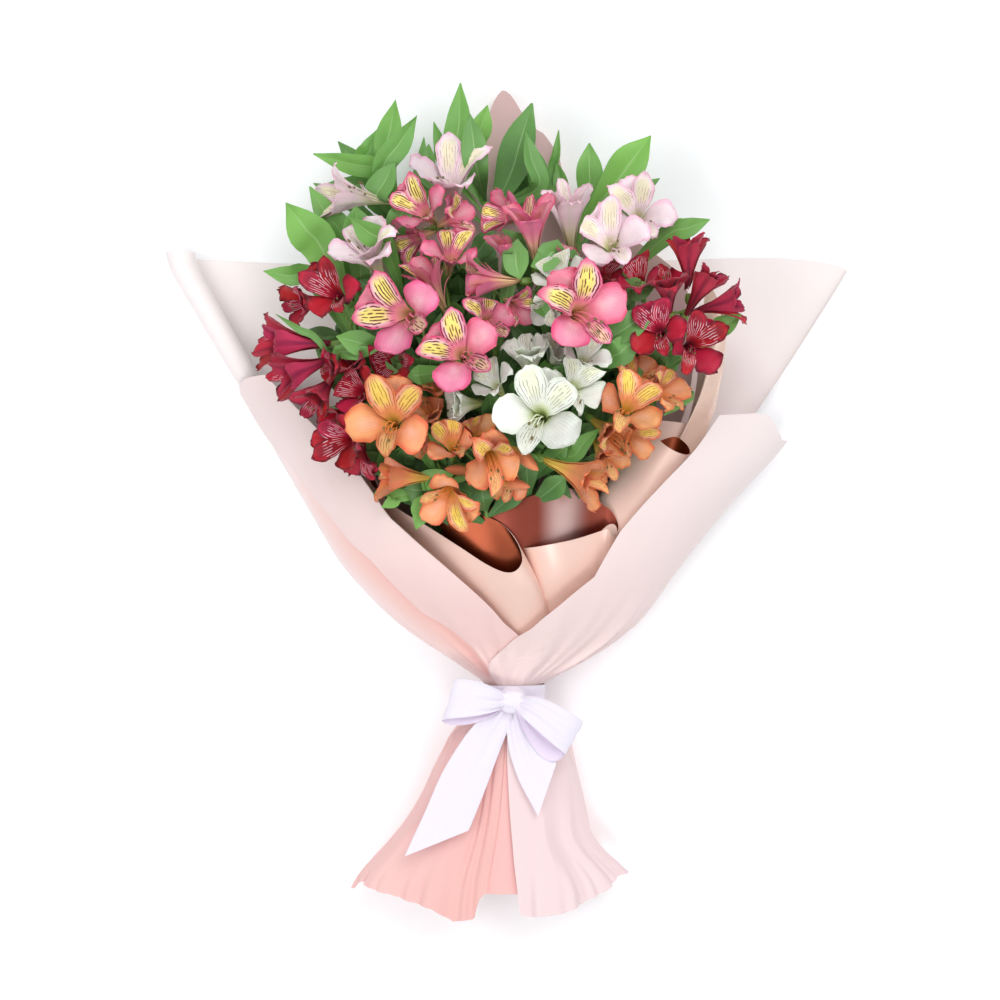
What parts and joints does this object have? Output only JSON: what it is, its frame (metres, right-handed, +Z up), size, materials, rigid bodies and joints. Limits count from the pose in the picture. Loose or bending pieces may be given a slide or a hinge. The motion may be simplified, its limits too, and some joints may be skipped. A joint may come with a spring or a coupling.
{
  "type": "wrapped alstroemeria bouquet",
  "caption": "Hand-tied bouquet of cut alstroemerias in copper paper and blush tissue, gathered by a bare satin ribbon bow, lying on its back.",
  "frame": {"origin": "on the surface that the bouquet lies on, at the flat underside of the back tissue, under the middle of the bouquet", "axes": "+Y from the cut ends towards the heads, +Z up from the surface, +X to the right as seen from above"},
  "size_m": [0.5295, 0.68, 0.1957],
  "materials": {
    "pale_petals": "soft matt petals, near-white to blush, with a pale yellow blotch and fine maroon streaks",
    "pink_petals": "soft matt petals, rose pink, with a yellow blotch and maroon streaks",
    "crimson_petals": "soft matt petals, crimson to maroon, with pale streaks",
    "white_petals": "soft matt petals, white with a green base and dark streaks",
    "apricot_petals": "soft matt petals, apricot with a yellow blotch and brown streaks",
    "foliage": "satin leaves with parallel veins and smooth stems",
    "copper_paper": "rose-gold satin wrapping paper with a metallic sheen",
    "blush_tissue": "translucent waxed tissue paper, blush pink, crinkled at the waist",
    "ribbon_satin": "white satin ribbon with woven edges"
  },
  "bodies": {
    "root": {"pale_left_head": "pale_petals", "pale_top_head": "pale_petals", "pale_right_head": "pale_petals", "pink_top_left_head": "pink_petals", "pink_left_head": "pink_petals", "pink_centre_head": "pink_petals", "pink_top_right_head": "pink_petals", "pink_right_head": "pink_petals", "red_top_left_head": "crimson_petals", "red_left_head": "crimson_petals", "red_low_left_head": "crimson_petals", "red_top_right_head": "crimson_petals", "red_right_head": "crimson_petals", "white_front_head": "white_petals", "white_back_head": "white_petals", "orange_left_head": "apricot_petals", "orange_mid_head": "apricot_petals", "orange_right_head": "apricot_petals", "pale_left_stem": "foliage", "pale_top_stem": "foliage", "pale_right_stem": "foliage", "pink_top_left_stem": "foliage", "pink_left_stem": "foliage", "pink_centre_stem": "foliage", "pink_top_right_stem": "foliage", "pink_right_stem": "foliage", "red_top_left_stem": "foliage", "red_left_stem": "foliage", "red_low_left_stem": "foliage", "red_top_right_stem": "foliage", "red_right_stem": "foliage", "white_front_stem": "foliage", "white_back_stem": "foliage", "orange_left_stem": "foliage", "orange_mid_stem": "foliage", "orange_right_stem": "foliage", "leafy_left_stem": "foliage", "leafy_centre_stem": "foliage", "leafy_right_stem": "foliage", "tissue_back": "blush_tissue", "tissue_right": "blush_tissue", "tissue_left": "blush_tissue", "copper_right": "copper_paper", "copper_front": "copper_paper", "copper_left": "copper_paper", "copper_back": "copper_paper", "satin_ribbon": "ribbon_satin"}
  },
  "joints": []
}
